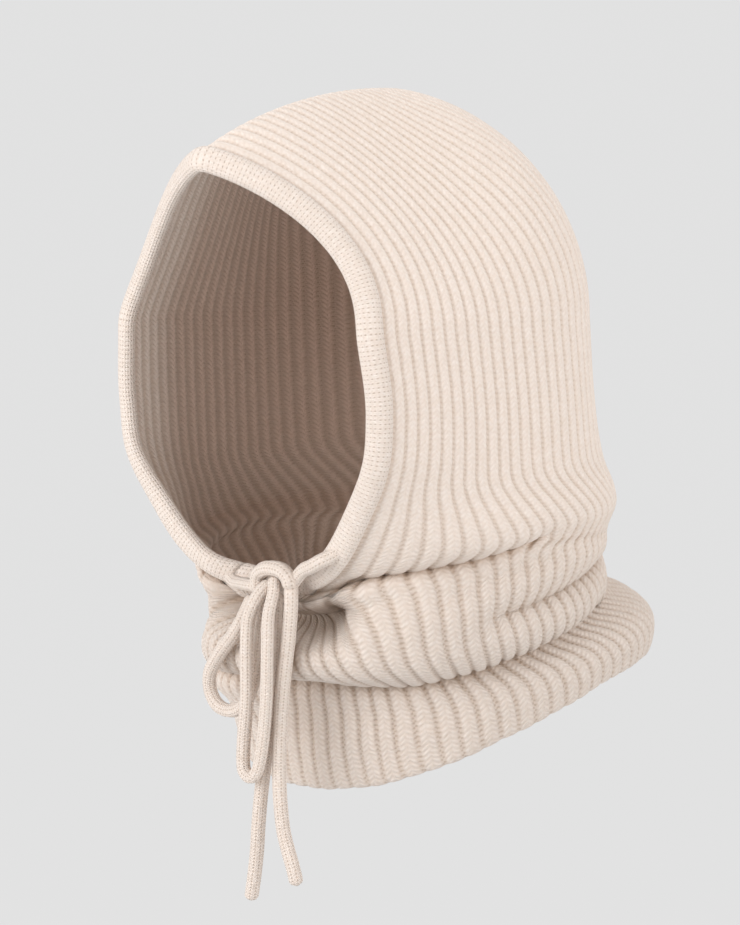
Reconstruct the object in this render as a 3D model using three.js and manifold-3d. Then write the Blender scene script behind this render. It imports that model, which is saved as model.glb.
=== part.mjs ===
// A knit hood with a cord tied in a bow under the chin, in the shape that it has when worn.
// Millimetres. +X is the wearer's left, +Y the back and +Z up. The origin is the inside of
// the crown's top, where the hood sits on a head.
import * as THREE from 'three';
import { mergeVertices } from 'three/addons/utils/BufferGeometryUtils.js';
import Module from 'manifold-3d';

const wasm = await Module();
wasm.setup();

// The knit: ribs that run from the neck's edge up one side, over the crown and down the other
const SIDE_RIBS = 30;
const FRONT_RIBS = 12;
const WALL = 2.6;
const RIB_RELIEF = 2.2;

// How far the ribs lie back from even places, in ribs, half way round to the back: above and
// below the jaw, and the levels between which they sweep from the one to the other
const SWEEP_ABOVE = -1.4;
const SWEEP_BELOW = 2.6;
const SWEEP_FROM = 0.58;
const SWEEP_TO = 0.88;
const CROWN_TOP = WALL;

// Roundness of the outlines: 2 is an ellipse, more is squarer, less is more pointed
const RING_FRONT = 2.2;
const RING_BACK = 2.05;
const ROOF_FRONT = 2.0;
const ROOF_BACK = 1.9;
const ARCH_FRONT = 1.35;
const ARCH_BACK = 2.0;
const ARCH_CHANGE = 0.65;

// The crown, seen from a centre between the ears. Angles are degrees up from straight ahead.
const ROOF_FRONT_REACH = 206;
const ROOF_BACK_REACH = 112;
const OPENING_TOP_ANGLE = 33;
const LAST_RIB_ANGLE = 108;

// Levels down the hood: 0 at the ears, 1 at the chin, 2 at the lowest edge. front, side and
// back are heights, and dip is how much lower the very front hangs. half is the half width,
// fore and rear are the reaches from centre. Above the chin the face edge gives the fore reach.
const LEVELS = [
  { at: 0.00, front: -116, side: -116, back: -116, dip: 0, half: 95, fore: 0, rear: 119, centre: 0 },
  { at: 0.33, front: -158, side: -158, back: -156, dip: 0, half: 97, fore: 0, rear: 121, centre: 1 },
  { at: 0.66, front: -203, side: -198, back: -188, dip: 0, half: 98, fore: 0, rear: 127, centre: 4 },
  { at: 0.88, front: -239, side: -222, back: -217, dip: 3, half: 101, fore: 0, rear: 137, centre: 6 },
  { at: 1.00, front: -245, side: -229, back: -233, dip: 10, half: 96, fore: 103, rear: 126, centre: 11 },
  { at: 1.14, front: -259, side: -241, back: -242, dip: 8, half: 98, fore: 110, rear: 121, centre: 12 },
  { at: 1.28, front: -278, side: -262, back: -250, dip: 4, half: 99, fore: 117, rear: 118, centre: 13 },
  { at: 1.42, front: -294, side: -278, back: -257, dip: 0, half: 96, fore: 114, rear: 113, centre: 17 },
  { at: 1.52, front: -303, side: -284, back: -260, dip: -8, half: 88, fore: 106, rear: 108, centre: 26 },
  { at: 1.66, front: -315, side: -290, back: -266, dip: -4, half: 96, fore: 114, rear: 119, centre: 42 },
  { at: 1.84, front: -336, side: -299, back: -281, dip: 0, half: 100, fore: 119, rear: 127, centre: 49 },
  { at: 2.00, front: -356, side: -310, back: -300, dip: 0, half: 98, fore: 114, rear: 122, centre: 49 },
  { at: 2.10, front: -354, side: -308, back: -298, dip: 0, half: 92, fore: 108, rear: 116, centre: 48 },
  { at: 2.20, front: -344, side: -298, back: -288, dip: 0, half: 89, fore: 105, rear: 113, centre: 48 },
];

// The face edge, where ribs and binding meet: its half width and its place along Y.
// Below the chin it is the line between the front ribs and the side ribs.
const FACE_EDGE = [
  { at: 0.00, half: 85.0, y: -105 },
  { at: 0.33, half: 88.0, y: -101 },
  { at: 0.55, half: 84.0, y: -100 },
  { at: 0.70, half: 73.0, y: -98 },
  { at: 0.82, half: 59.0, y: -96 },
  { at: 0.92, half: 42.0, y: -92 },
  { at: 1.00, half: 25.0, y: -88 },
  { at: 1.28, half: 44.0, y: -88 },
  { at: 1.60, half: 50.0, y: -80 },
  { at: 2.20, half: 55.0, y: -66 },
];

// Creases pressed into the neck. from and to are places round it: 0 is the front's centre,
// 1 the back's, and minus is the wearer's right. start and end are levels, and bow is how far
// the middle hangs below them. width is in levels, depth and lip in millimetres: a minus depth
// is a swelling, and lip is how far the two sides close over the crease. fade is the share of
// the way round that each end takes. sharp is more than 2 for a hollow with steep sides.
const CREASES = [
  { from: 0.10, to: 0.54, start: 0.86, end: 0.84, bow: 0.18, width: 0.060, depth: 8, lip: 3, fade: 0.12 },
  { from: 0.22, to: 0.60, start: 1.18, end: 1.09, bow: 0.00, width: 0.055, depth: 4, lip: 1, fade: 0.15 },
  { from: 0.33, to: 0.84, start: 1.27, end: 1.17, bow: 0.03, width: 0.055, depth: 8, lip: 3, fade: 0.10 },
  { from: -0.65, to: 0.72, start: 1.50, end: 1.42, bow: 0.08, width: 0.05, depth: 6, lip: 3, fade: 0.06 },
  { from: -0.92, to: -0.4, start: 1.16, end: 1.30, bow: 0.04, width: 0.055, depth: 6, lip: 2, fade: 0.1 },
  { from: -0.62, to: -0.1, start: 1.20, end: 1.24, bow: 0.03, width: 0.11, depth: 17, lip: 3, fade: 0.15 },
  { from: -0.50, to: 0.02, start: 1.60, end: 1.60, bow: 0, width: 0.12, depth: -14, lip: 0, fade: 0.1 },
  {
    from: -0.15, to: 0.165, start: 1.12, end: 1.18, bow: 0, width: 0.09, depth: 26, lip: 3,
    fade: 0.05, sharp: 4,
  },
];

// The binding round the face: a soft casing, wider than it is thick, turned in towards the face
const BINDING_WIDTH = 13.5;
const BINDING_THICKNESS = 9;
const BINDING_TURN = THREE.MathUtils.degToRad(35);
const BINDING_SINK = 0.4;
const BINDING_STEPS = 62;
const BINDING_SIDES = 8;
const BINDING_GAP = 2.4;

// The cord, a knitted tube, and the routes of its strands from where each one leaves
const CORD = 7;
const CORD_SIDES = 8;
const CORD_STEP = 2.5 * CORD;
const STRANDS = {
  cord_link_left: [[46.9, -108.2, -232.1], [41.6, -108.8, -235], [35, -107.8, -237.7]],
  cord_link_right: [[-19.5, -97, -248.8], [-11, -101.5, -248.4], [-3.5, -104.5, -248.3], [0, -105.5, -248.2]],
  bow_loop_long: [
    [11.5, -113, -250], [9.5, -116.5, -256], [7.3, -118, -264.3], [7.2, -119, -278.4],
    [6.2, -118, -303.1], [2.6, -116, -322.6], [0.9, -115, -335.7], [1.9, -115, -341.7],
    [6, -115, -344.3], [10.1, -115, -341.3], [12.8, -115, -333.3], [15.8, -116, -321.2],
    [19.4, -118, -301.7], [21, -119, -277.2], [20.5, -117.5, -261], [19.8, -113, -250],
  ],
  bow_loop_short: [
    [1, -107, -253], [-2.5, -109.5, -262.6], [-7.7, -110.7, -271.6], [-19.1, -109.3, -283.1],
    [-28, -107.1, -293.4], [-31.2, -105, -301.2], [-29.1, -105, -307.7], [-23.4, -106, -312.2],
    [-14.7, -107, -313.5], [-5.6, -108, -310.1], [1.5, -109, -300.5], [6.5, -110, -284.5],
    [8.4, -109, -266.6], [8.6, -107, -254],
  ],
  cord_tail_left: [
    [28.1, -109, -249], [28.8, -110, -257.2], [27.2, -110, -272.6], [24.4, -110, -290.5],
    [21.6, -109, -306.2], [19.5, -108, -324.3], [18.2, -107, -339.9], [18.8, -107, -355.2],
    [19.9, -106, -370.6], [22.9, -106, -380.5], [26.3, -106, -389.3], [28.4, -105, -398.9],
  ],
  cord_tail_right: [
    [16, -107, -254], [17.2, -109, -263.4], [17.4, -110, -278.5], [15.5, -109.5, -299.1],
    [12, -108, -320], [8.4, -107, -338.5], [5.9, -107, -354.2], [4.1, -107, -369.8],
    [2.2, -106, -383.1], [0.4, -106, -396.3], [-3, -105, -410.3],
  ],
};

// The knot: one turn of cord over the strands, and what is pulled tight behind it
const KNOT_TURN = [
  [4.9, -108, -248], [6, -108, -241.5], [14, -109, -237.7], [22.7, -109, -238], [27.2, -109, -242.2],
  [27.9, -109, -248],
];
const KNOT_CORD = 8.4;
const KNOT_CORE = { x: 16, y: -104, z: -243.5, width: 18, depth: 9, height: 13 };

// How finely the solids are cut
const NECK_ROWS = [
  2.20, 2.10, 2.00, 1.92, 1.84, 1.75, 1.66, 1.59, 1.52, 1.45, 1.36, 1.28, 1.21, 1.14, 1.07,
  1.00, 0.96, 0.90, 0.80, 0.66, 0.50, 0.33, 0.16, 0.00,
];
const CROWN_ROWS = 7;
const OUTER_STEP = 0.5;
const INNER_STEP = 2.5;

const WOOL = { color: 0xe6dace, roughness: 0.95, metalness: 0 };

function smooth(rows, column, at) {
  const last = rows.length - 1;
  const x = Math.min(Math.max(at, rows[0].at), rows[last].at);
  let i = 0;
  while (i < last - 1 && x >= rows[i + 1].at) i += 1;
  const span = (k) => rows[k + 1].at - rows[k].at;
  const slope = (k) => (rows[k + 1][column] - rows[k][column]) / span(k);
  const tangent = (k) => {
    if (k === 0) return slope(0);
    if (k === last) return slope(last - 1);
    return (slope(k - 1) * span(k) + slope(k) * span(k - 1)) / (span(k - 1) + span(k));
  };
  const t = (x - rows[i].at) / span(i);
  const h = span(i);
  return (2 * t ** 3 - 3 * t ** 2 + 1) * rows[i][column] + (t ** 3 - 2 * t ** 2 + t) * h * tangent(i)
    + (3 * t ** 2 - 2 * t ** 3) * rows[i + 1][column] + (t ** 3 - t ** 2) * h * tangent(i + 1);
}

function level(at) {
  const ring = {};
  for (const column of ['front', 'side', 'back', 'dip', 'half', 'fore', 'rear', 'centre']) {
    ring[column] = smooth(LEVELS, column, at);
  }
  ring.edge = smooth(FACE_EDGE, 'half', at);
  if (at < 1) {
    const reach = ring.centre - smooth(FACE_EDGE, 'y', at);
    ring.fore = reach / (1 - (ring.edge / ring.half) ** RING_FRONT) ** (1 / RING_FRONT);
  }
  return ring;
}

// A point of half a ring. turn runs from 0 at the front's centre to PI at the back's.
function ringPoint(ring, turn) {
  const c = Math.cos(turn);
  const power = 2 / (c > 0 ? RING_FRONT : RING_BACK);
  const along = Math.sign(c) * Math.abs(c) ** power;
  const z = ring.side + (ring.front - ring.back) / 2 * along
    + ((ring.front + ring.back) / 2 - ring.side) * along ** 2
    - ring.dip * Math.max(along, 0) ** 8;
  return new THREE.Vector3(
    ring.half * Math.abs(Math.sin(turn)) ** power,
    ring.centre - (c > 0 ? ring.fore : ring.rear) * along,
    z,
  );
}

function interpolate(x, xs, ys) {
  let low = 0;
  let high = xs.length - 1;
  while (high - low > 1) {
    const middle = (low + high) >> 1;
    if (xs[middle] <= x) low = middle; else high = middle;
  }
  const t = (x - xs[low]) / (xs[high] - xs[low]);
  return ys[low] + (ys[high] - ys[low]) * Math.min(Math.max(t, 0), 1);
}

// A ring with its turns listed against the share of its length, so that ribs lie evenly
const RING_STEPS = 400;
const measured = new Map();
function measuredRing(at) {
  const key = at.toFixed(5);
  if (!measured.has(key)) {
    const ring = level(at);
    const turns = [];
    const shares = [0];
    const widths = [];
    let before = null;
    for (let i = 0; i <= RING_STEPS; i += 1) {
      const turn = Math.PI * i / RING_STEPS;
      const point = ringPoint(ring, turn);
      turns.push(turn);
      widths.push(point.x);
      if (before) shares.push(shares[i - 1] + point.distanceTo(before));
      before = point;
    }
    const length = shares[RING_STEPS];
    for (let i = 0; i <= RING_STEPS; i += 1) shares[i] /= length;
    const half = RING_STEPS / 2 + 1;
    const edgeTurn = interpolate(ring.edge, widths.slice(0, half), turns.slice(0, half));
    measured.set(key, { ring, turns, shares, edge: interpolate(edgeTurn, turns, shares) });
  }
  return measured.get(key);
}

function creased(point, ring, place, at) {
  const out = new THREE.Vector2(
    point.x / ring.half ** 2,
    (point.y - ring.centre) / ((ring.fore + ring.rear) / 2) ** 2,
  ).normalize();
  for (const crease of CREASES) {
    const t = THREE.MathUtils.clamp((place - crease.from) / (crease.to - crease.from), 0, 1);
    const middle = crease.start + (crease.end - crease.start) * t + crease.bow * 4 * t * (1 - t);
    const ends = THREE.MathUtils.clamp((place - crease.from) / crease.fade, 0, 1)
      * THREE.MathUtils.clamp((crease.to - place) / crease.fade, 0, 1);
    const off = (at - middle) / crease.width;
    const strength = Math.exp(-(Math.abs(off) ** (crease.sharp ?? 2))) * ends * ends * (3 - 2 * ends);
    point.x -= out.x * crease.depth * strength;
    point.y -= out.y * crease.depth * strength;
    point.z += crease.lip * 1.6 * off * strength;
  }
  return point;
}

function neckPoint(at, share, sign) {
  const { ring, turns, shares } = measuredRing(at);
  const point = creased(ringPoint(ring, interpolate(share, shares, turns)), ring, sign * share, at);
  point.x *= sign;
  return point;
}

// A rib's place among the evenly spread ones. Stations are levels, and minus on the crown.
function swept(rib, station) {
  const above = SWEEP_ABOVE * THREE.MathUtils.smoothstep(station, -1, 0);
  const turned = THREE.MathUtils.smoothstep(station, SWEEP_FROM, SWEEP_TO);
  const back = above + (SWEEP_BELOW - SWEEP_ABOVE) * turned;
  return rib + back * Math.sin(Math.PI * rib / SIDE_RIBS);
}

// A point of the crown. rise runs from 0 at the ears to 1 at the centre line.
function crownPoint(rise, rib, sign) {
  const { ring, turns, shares, edge } = measuredRing(0);
  const share = edge + (1 - edge) * rib / SIDE_RIBS;
  const foot = ringPoint(ring, interpolate(share, shares, turns));
  const height = CROWN_TOP - ring.side;
  const aim = Math.atan2(foot.x, ring.centre - foot.y);
  const spread = LAST_RIB_ANGLE - OPENING_TOP_ANGLE;
  const over = THREE.MathUtils.degToRad(OPENING_TOP_ANGLE + spread * rib / SIDE_RIBS);
  const turn = rise * Math.PI / 2;
  const x = Math.sin(aim) * Math.cos(turn);
  const y = -Math.cos(aim) + (Math.cos(aim) - Math.cos(over)) * Math.sin(turn) ** 2;
  const z = Math.sin(over) * Math.sin(turn);
  const roof = (z / height) ** 2 / ((x / ring.half) ** 2 + (z / height) ** 2);
  const mix = (a, b) => a + (b - a) * roof;
  const reach = y > 0 ? mix(ring.rear, ROOF_BACK_REACH) : mix(ring.fore, ROOF_FRONT_REACH);
  const power = y > 0 ? mix(RING_BACK, ROOF_BACK) : mix(RING_FRONT, ROOF_FRONT);
  const backward = 0.5 + y / Math.hypot(x, y, z) / ARCH_CHANGE / 2;
  const arch = ARCH_FRONT + (ARCH_BACK - ARCH_FRONT) * THREE.MathUtils.smoothstep(backward, 0, 1);
  const across = ((Math.abs(x) / ring.half) ** arch + (z / height) ** arch) ** (power / arch);
  const size = (across + (Math.abs(y) / reach) ** power) ** (-1 / power);
  return new THREE.Vector3(sign * x * size, ring.centre + y * size, ring.side + z * size);
}

// Stations along a rib: a level below the ears, and minus the rise above them
function sidePoint(rib, station, sign) {
  const lies = swept(rib, station);
  if (station < 0) return crownPoint(-station, lies, sign);
  const { edge } = measuredRing(station);
  return neckPoint(station, edge + (1 - edge) * lies / SIDE_RIBS, sign);
}

function frontPoint(rib, station) {
  const { edge } = measuredRing(station);
  return neckPoint(station, edge * Math.abs(rib) / (FRONT_RIBS / 2), rib < 0 ? -1 : 1);
}

// The direction out of the knit, by small steps along and across the ribs
const RIB_NUDGE = 0.05;
const STATION_NUDGE = 0.004;
function outward(place, rib, station, ribEnd, stationEnd, flip) {
  const a = place(Math.max(rib - RIB_NUDGE, ribEnd[0]), station);
  const b = place(Math.min(rib + RIB_NUDGE, ribEnd[1]), station);
  const c = place(rib, Math.max(station - STATION_NUDGE, stationEnd[0]));
  const d = place(rib, Math.min(station + STATION_NUDGE, stationEnd[1]));
  return d.sub(c).cross(b.sub(a)).normalize().multiplyScalar(flip);
}

// One face of a patch of knit as a grid of points. lift is the height above a valley.
function patch(kind, ribs, stations, lift) {
  const front = kind === 'front';
  const sign = kind === 'right' ? -1 : 1;
  const place = front ? frontPoint : (rib, station) => sidePoint(rib, station, sign);
  const ribEnd = front ? [-FRONT_RIBS / 2, FRONT_RIBS / 2] : [0, SIDE_RIBS];
  const stationEnd = [front ? 1 : -1, LEVELS[LEVELS.length - 1].at];
  return ribs.map((rib) => stations.map((station) => {
    const out = outward(place, rib, station, ribEnd, stationEnd, sign);
    const crossesCentre = !front && (rib === SIDE_RIBS || station === -1);
    if (crossesCentre) out.setX(0).normalize();
    return place(rib, station).addScaledVector(out, lift(rib, station));
  }));
}

function steps(from, to, step) {
  const count = Math.round((to - from) / step);
  return Array.from({ length: count + 1 }, (_, i) => from + (to - from) * i / count);
}

class Solid {
  constructor() {
    this.points = [];
  }

  triangle(a, b, c) {
    // Where the last rib turns over, a sliver lies in the mirror plane and is left out
    if (a.x === 0 && b.x === 0 && c.x === 0) return;
    for (const point of [a, b, c]) this.points.push(point.x, point.y, point.z);
  }

  grid(rows, flip) {
    for (let i = 0; i < rows.length - 1; i += 1) {
      for (let j = 0; j < rows[i].length - 1; j += 1) {
        const [a, b, c, d] = [rows[i][j], rows[i + 1][j], rows[i + 1][j + 1], rows[i][j + 1]];
        if (flip) {
          this.triangle(a, c, b);
          this.triangle(a, d, c);
        } else {
          this.triangle(a, b, c);
          this.triangle(a, c, d);
        }
      }
    }
  }

  // Fills the strip between two lines of points that run the same way
  strip(one, two) {
    let i = 0;
    let j = 0;
    while (i < one.length - 1 || j < two.length - 1) {
      const next = (i + 1) / (one.length - 1);
      const other = (j + 1) / (two.length - 1);
      if (j === two.length - 1 || (i < one.length - 1 && next <= other)) {
        this.triangle(one[i], one[i + 1], two[j]);
        i += 1;
      } else {
        this.triangle(one[i], two[j + 1], two[j]);
        j += 1;
      }
    }
  }

  // A skin over rings of points that follow each other round a loop
  loop(rings) {
    const closed = rings.map((ring) => [...ring, ring[0]]);
    this.grid([...closed, closed[0]], true);
  }

  geometry() {
    const geometry = new THREE.BufferGeometry();
    geometry.setAttribute('position', new THREE.Float32BufferAttribute(this.points, 3));
    return geometry;
  }
}

// A geometry whose points are shared between its faces, so that it is one closed body
function welded(geometry) {
  const bare = new THREE.BufferGeometry();
  bare.setAttribute('position', geometry.getAttribute('position'));
  bare.setIndex(geometry.getIndex());
  return mergeVertices(bare, 1e-3);
}

function piece(name, geometry) {
  const closed = welded(geometry);
  closed.computeVertexNormals();
  const mesh = new THREE.Mesh(closed, new THREE.MeshStandardMaterial(WOOL));
  mesh.name = name;
  return mesh;
}

const column = (grid, j) => grid.map((line) => line[j]);

function allStations() {
  const crown = steps(-1, 0, 1 / CROWN_ROWS).slice(0, -1);
  return [...crown, ...[...NECK_ROWS].reverse()];
}

function hoodBody() {
  const sideStations = allStations();
  const frontStations = sideStations.filter((station) => station >= 1);
  const relief = (rib) => (Number.isInteger(rib) ? 0 : RIB_RELIEF);
  // the front ribs are flat where they are sewn in under the binding
  const sewnRelief = (rib, station) => (station === 1 ? 0 : relief(rib));
  const faces = {};
  const inside = () => -WALL;
  for (const [face, step, sideLift, frontLift] of [
    ['outer', OUTER_STEP, relief, sewnRelief],
    ['inner', INNER_STEP, inside, inside],
  ]) {
    const side = steps(0, SIDE_RIBS, step);
    faces[face] = {
      left: patch('left', side, sideStations, sideLift),
      right: patch('right', side, sideStations, sideLift),
      front: patch('front', steps(-FRONT_RIBS / 2, FRONT_RIBS / 2, step), frontStations, frontLift),
    };
  }
  const solid = new Solid();
  const { outer, inner } = faces;
  const share = (face) => {
    // the front ribs and the side ribs meet on one line
    const chin = sideStations.indexOf(1);
    face.left[0].splice(chin, frontStations.length, ...face.front[face.front.length - 1]);
    face.right[0].splice(chin, frontStations.length, ...face.front[0]);
    // both sides meet on the centre line of the crown and of the back
    face.left.forEach((line, i) => { line[0].x = 0; face.right[i][0].copy(line[0]); });
    const backLine = face.left.length - 1;
    face.left[backLine].forEach((point, j) => {
      point.x = 0;
      face.right[backLine][j].copy(point);
    });
  };
  share(outer);
  share(inner);
  solid.grid(outer.left, true);
  solid.grid(outer.right, false);
  solid.grid(outer.front, true);
  solid.grid(inner.left, false);
  solid.grid(inner.right, true);
  solid.grid(inner.front, false);
  const chin = sideStations.indexOf(1);
  const faceEdge = (face) => [
    ...face.left[0].slice(0, chin + 1).reverse(),
    ...face.right[0].slice(1, chin + 1),
  ];
  const chinEdge = (face) => column(face.front, 0);
  const hem = (grid) => column(grid, grid[0].length - 1);
  solid.strip(faceEdge(outer), faceEdge(inner));
  solid.strip(chinEdge(outer), chinEdge(inner));
  solid.strip(hem(inner.front), hem(outer.front));
  solid.strip(hem(inner.left), hem(outer.left));
  solid.strip(hem(outer.right), hem(inner.right));
  return piece('hood_body', solid.geometry());
}

// The middle of the wall's edge round the face, with the direction out of the knit there
function faceSeam() {
  const seam = [];
  const add = (place, rib, station, ribEnd, stationEnd, sign) => {
    const out = outward(place, rib, station, ribEnd, stationEnd, sign);
    if (station === -1) out.setX(0).normalize();
    seam.push({ out, point: place(rib, station).addScaledVector(out, -WALL / 2) });
  };
  const side = (stations, sign) => {
    const place = (rib, station) => sidePoint(rib, station, sign);
    for (const station of stations) add(place, 0, station, [0, SIDE_RIBS], [-1, 2], sign);
  };
  const down = allStations().filter((station) => station < 1);
  side(down, -1);
  for (const rib of steps(-FRONT_RIBS / 2, FRONT_RIBS / 2, 3)) {
    add(frontPoint, rib, 1, [-FRONT_RIBS / 2, FRONT_RIBS / 2], [1, 2], 1);
  }
  side([...down].reverse().slice(0, -1), 1);
  return seam;
}

function faceBinding() {
  const seam = faceSeam();
  const path = new THREE.CatmullRomCurve3(seam.map(({ point }) => point), true);
  const outs = new THREE.CatmullRomCurve3(seam.map(({ out }) => out), true);
  const cos = Math.cos(BINDING_TURN);
  const sin = Math.sin(BINDING_TURN);
  const reach = Math.hypot(BINDING_WIDTH / 2 * cos, BINDING_THICKNESS / 2 * sin) + BINDING_GAP;
  const rings = [];
  for (let i = 0; i < BINDING_STEPS; i += 1) {
    const t = path.getUtoTmapping(i / BINDING_STEPS);
    const along = path.getTangent(t);
    const out = outs.getPoint(t).normalize();
    const ahead = new THREE.Vector3().crossVectors(out, along).normalize();
    out.crossVectors(along, ahead).normalize();
    const centre = path.getPoint(t).addScaledVector(ahead, reach).addScaledVector(out, -BINDING_SINK);
    const wide = ahead.clone().multiplyScalar(cos).addScaledVector(out, -sin);
    const thick = out.clone().multiplyScalar(cos).addScaledVector(ahead, sin);
    const ring = [];
    for (let k = 0; k < BINDING_SIDES; k += 1) {
      const turn = 2 * Math.PI * (k + 0.5) / BINDING_SIDES;
      ring.push(centre.clone()
        .addScaledVector(wide, BINDING_WIDTH / 2 * Math.cos(turn))
        .addScaledVector(thick, BINDING_THICKNESS / 2 * Math.sin(turn)));
    }
    rings.push(ring);
  }
  const solid = new Solid();
  solid.loop(rings);
  return piece('face_binding', solid.geometry());
}

function cordTube(route, diameter) {
  const path = new THREE.CatmullRomCurve3(route.map((point) => new THREE.Vector3(...point)));
  const section = new THREE.Shape(steps(0, CORD_SIDES - 1, 1).map((k) => {
    const turn = 2 * Math.PI * k / CORD_SIDES;
    return new THREE.Vector2(Math.cos(turn), Math.sin(turn)).multiplyScalar(diameter / 2);
  }));
  const count = Math.max(3, Math.round(path.getLength() / CORD_STEP));
  return new THREE.ExtrudeGeometry(section, { steps: count, bevelEnabled: false, extrudePath: path });
}

function toManifold(geometry) {
  const closed = welded(geometry);
  return new wasm.Manifold(new wasm.Mesh({
    numProp: 3,
    vertProperties: new Float32Array(closed.getAttribute('position').array),
    triVerts: new Uint32Array(closed.getIndex().array),
  }));
}

function fromManifold(solid) {
  const { vertProperties, triVerts } = solid.getMesh();
  const geometry = new THREE.BufferGeometry();
  geometry.setAttribute('position', new THREE.BufferAttribute(vertProperties, 3));
  geometry.setIndex(new THREE.BufferAttribute(triVerts, 1));
  return geometry;
}

function bowKnot() {
  const turn = toManifold(cordTube(KNOT_TURN, KNOT_CORD));
  const core = new THREE.SphereGeometry(0.5, 12, 8);
  core.scale(KNOT_CORE.width, KNOT_CORE.depth, KNOT_CORE.height);
  core.translate(KNOT_CORE.x, KNOT_CORE.y, KNOT_CORE.z);
  return piece('bow_knot', fromManifold(turn.add(toManifold(core))));
}

const hood = new THREE.Group();
hood.add(hoodBody(), faceBinding(), bowKnot());
for (const [name, route] of Object.entries(STRANDS)) {
  hood.add(piece(name, cordTube(route, CORD)));
}

export default hood;
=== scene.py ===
"""Looks of the knit hood: rib knit, casing and tubular cord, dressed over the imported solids."""
import math

import bpy
import numpy as np
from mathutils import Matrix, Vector, noise


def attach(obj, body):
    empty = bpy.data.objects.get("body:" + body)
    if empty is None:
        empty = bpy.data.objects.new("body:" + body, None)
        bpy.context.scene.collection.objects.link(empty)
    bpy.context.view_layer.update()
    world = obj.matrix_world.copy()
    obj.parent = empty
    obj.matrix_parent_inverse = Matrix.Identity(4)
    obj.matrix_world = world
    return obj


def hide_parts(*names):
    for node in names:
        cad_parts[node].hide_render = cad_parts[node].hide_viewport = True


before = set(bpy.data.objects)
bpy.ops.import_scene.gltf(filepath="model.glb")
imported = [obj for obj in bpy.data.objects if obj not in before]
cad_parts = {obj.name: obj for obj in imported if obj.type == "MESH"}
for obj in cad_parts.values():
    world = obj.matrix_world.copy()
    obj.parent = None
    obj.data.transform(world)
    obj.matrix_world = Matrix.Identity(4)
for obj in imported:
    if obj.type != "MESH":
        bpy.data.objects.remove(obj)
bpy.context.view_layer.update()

MM = 0.001

# The photograph's frame and the place it was taken from
PHOTO_WIDTH, PHOTO_HEIGHT = 740, 925
CAMERA_AZIMUTH = math.radians(40)
CAMERA_ELEVATION = math.radians(5)
CAMERA_DISTANCE = 2.0
CAMERA_SENSOR = 36.0
PIXELS_PER_METRE = 1900.0
CAMERA_AIM = Vector((0, 0, -0.178))
AIM_SHIFT_RIGHT = -0.00895
AIM_SHIFT_UP = -0.0146

# The knit: ribs that run from the neck's edge up one side, over the crown and down the other, with
# the wall's thickness and the ribs' height on its outer and inner face
SIDE_RIBS = 30
FRONT_RIBS = 12
WALL = 2.6
RIB_RELIEF = 2.2
INNER_RELIEF = 1.4
CROWN_TOP = WALL

# How square the rings, the roof and its arch are (2 is round), and how far the roof would reach
# forward and back
RING_FRONT, RING_BACK = 2.2, 2.05
ROOF_FRONT, ROOF_BACK = 2.0, 1.9
ARCH_FRONT, ARCH_BACK, ARCH_CHANGE = 1.35, 2.0, 0.65
ROOF_FRONT_REACH, ROOF_BACK_REACH = 206, 112
FRONT_DIP_POWER = 8

# Where the first and the last rib cross the centre line, in degrees up and back from the front
OPENING_TOP_ANGLE, LAST_RIB_ANGLE = 33, 108

# How far the ribs lie back from even places half way round, in ribs, above and below the jaw, and
# the levels between which that changes
SWEEP_ABOVE, SWEEP_BELOW = -1.4, 1.1
SWEEP = (0.58, 0.88)

# Levels down the hood: 0 at the ears, 1 at the chin, 2 at the lowest edge, in millimetres. front, side
# and back are the ring's heights, dip how far its front's middle hangs lower and half its half width.
# fore and rear are its reach to the front and back of its centre along Y. Above the chin the fore
# follows from the face edge.
LEVEL_COLUMNS = ("at", "front", "side", "back", "dip", "half", "fore", "rear", "centre")
LEVELS = [
    (0.00, -116, -116, -116, 0, 95, 0, 119, 0),
    (0.33, -158, -158, -156, 0, 97, 0, 121, 1),
    (0.66, -203, -198, -188, 0, 98, 0, 127, 4),
    (0.88, -239, -222, -217, 3, 101, 0, 137, 6),
    (1.00, -245, -229, -233, 10, 96, 103, 126, 11),
    (1.14, -259, -241, -242, 8, 98, 110, 121, 12),
    (1.28, -278, -262, -250, 4, 99, 117, 118, 13),
    (1.42, -294, -278, -257, 0, 96, 114, 113, 17),
    (1.52, -303, -284, -260, -8, 88, 106, 108, 26),
    (1.66, -315, -290, -266, -4, 96, 114, 119, 42),
    (1.84, -336, -299, -281, 0, 100, 119, 127, 49),
    (2.00, -356, -310, -300, 0, 98, 114, 122, 49),
    (2.10, -354, -308, -298, 0, 92, 108, 116, 48),
    (2.20, -344, -298, -288, 0, 89, 105, 113, 48),
]

# The face edge at those levels: its half width and its place along Y. Below the chin it is the line
# between the front ribs and the side ribs.
FACE_EDGE = [
    (0.00, 85.0, -105),
    (0.33, 88.0, -101),
    (0.55, 84.0, -100),
    (0.70, 73.0, -98),
    (0.82, 59.0, -96),
    (0.92, 42.0, -92),
    (1.00, 25.0, -88),
    (1.28, 44.0, -88),
    (1.60, 50.0, -80),
    (2.20, 55.0, -66),
]

# Where the front's ribs would end if nothing drew them together, as level and half width, and how
# far the pull reaches, in ribs
UNGATHERED = [
    (0.00, 85.0), (0.33, 88.0), (0.55, 84.0), (0.70, 73.0), (0.82, 62.0), (1.00, 53.0), (2.20, 55.0),
]
GATHER_REACH = 5.5

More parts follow.
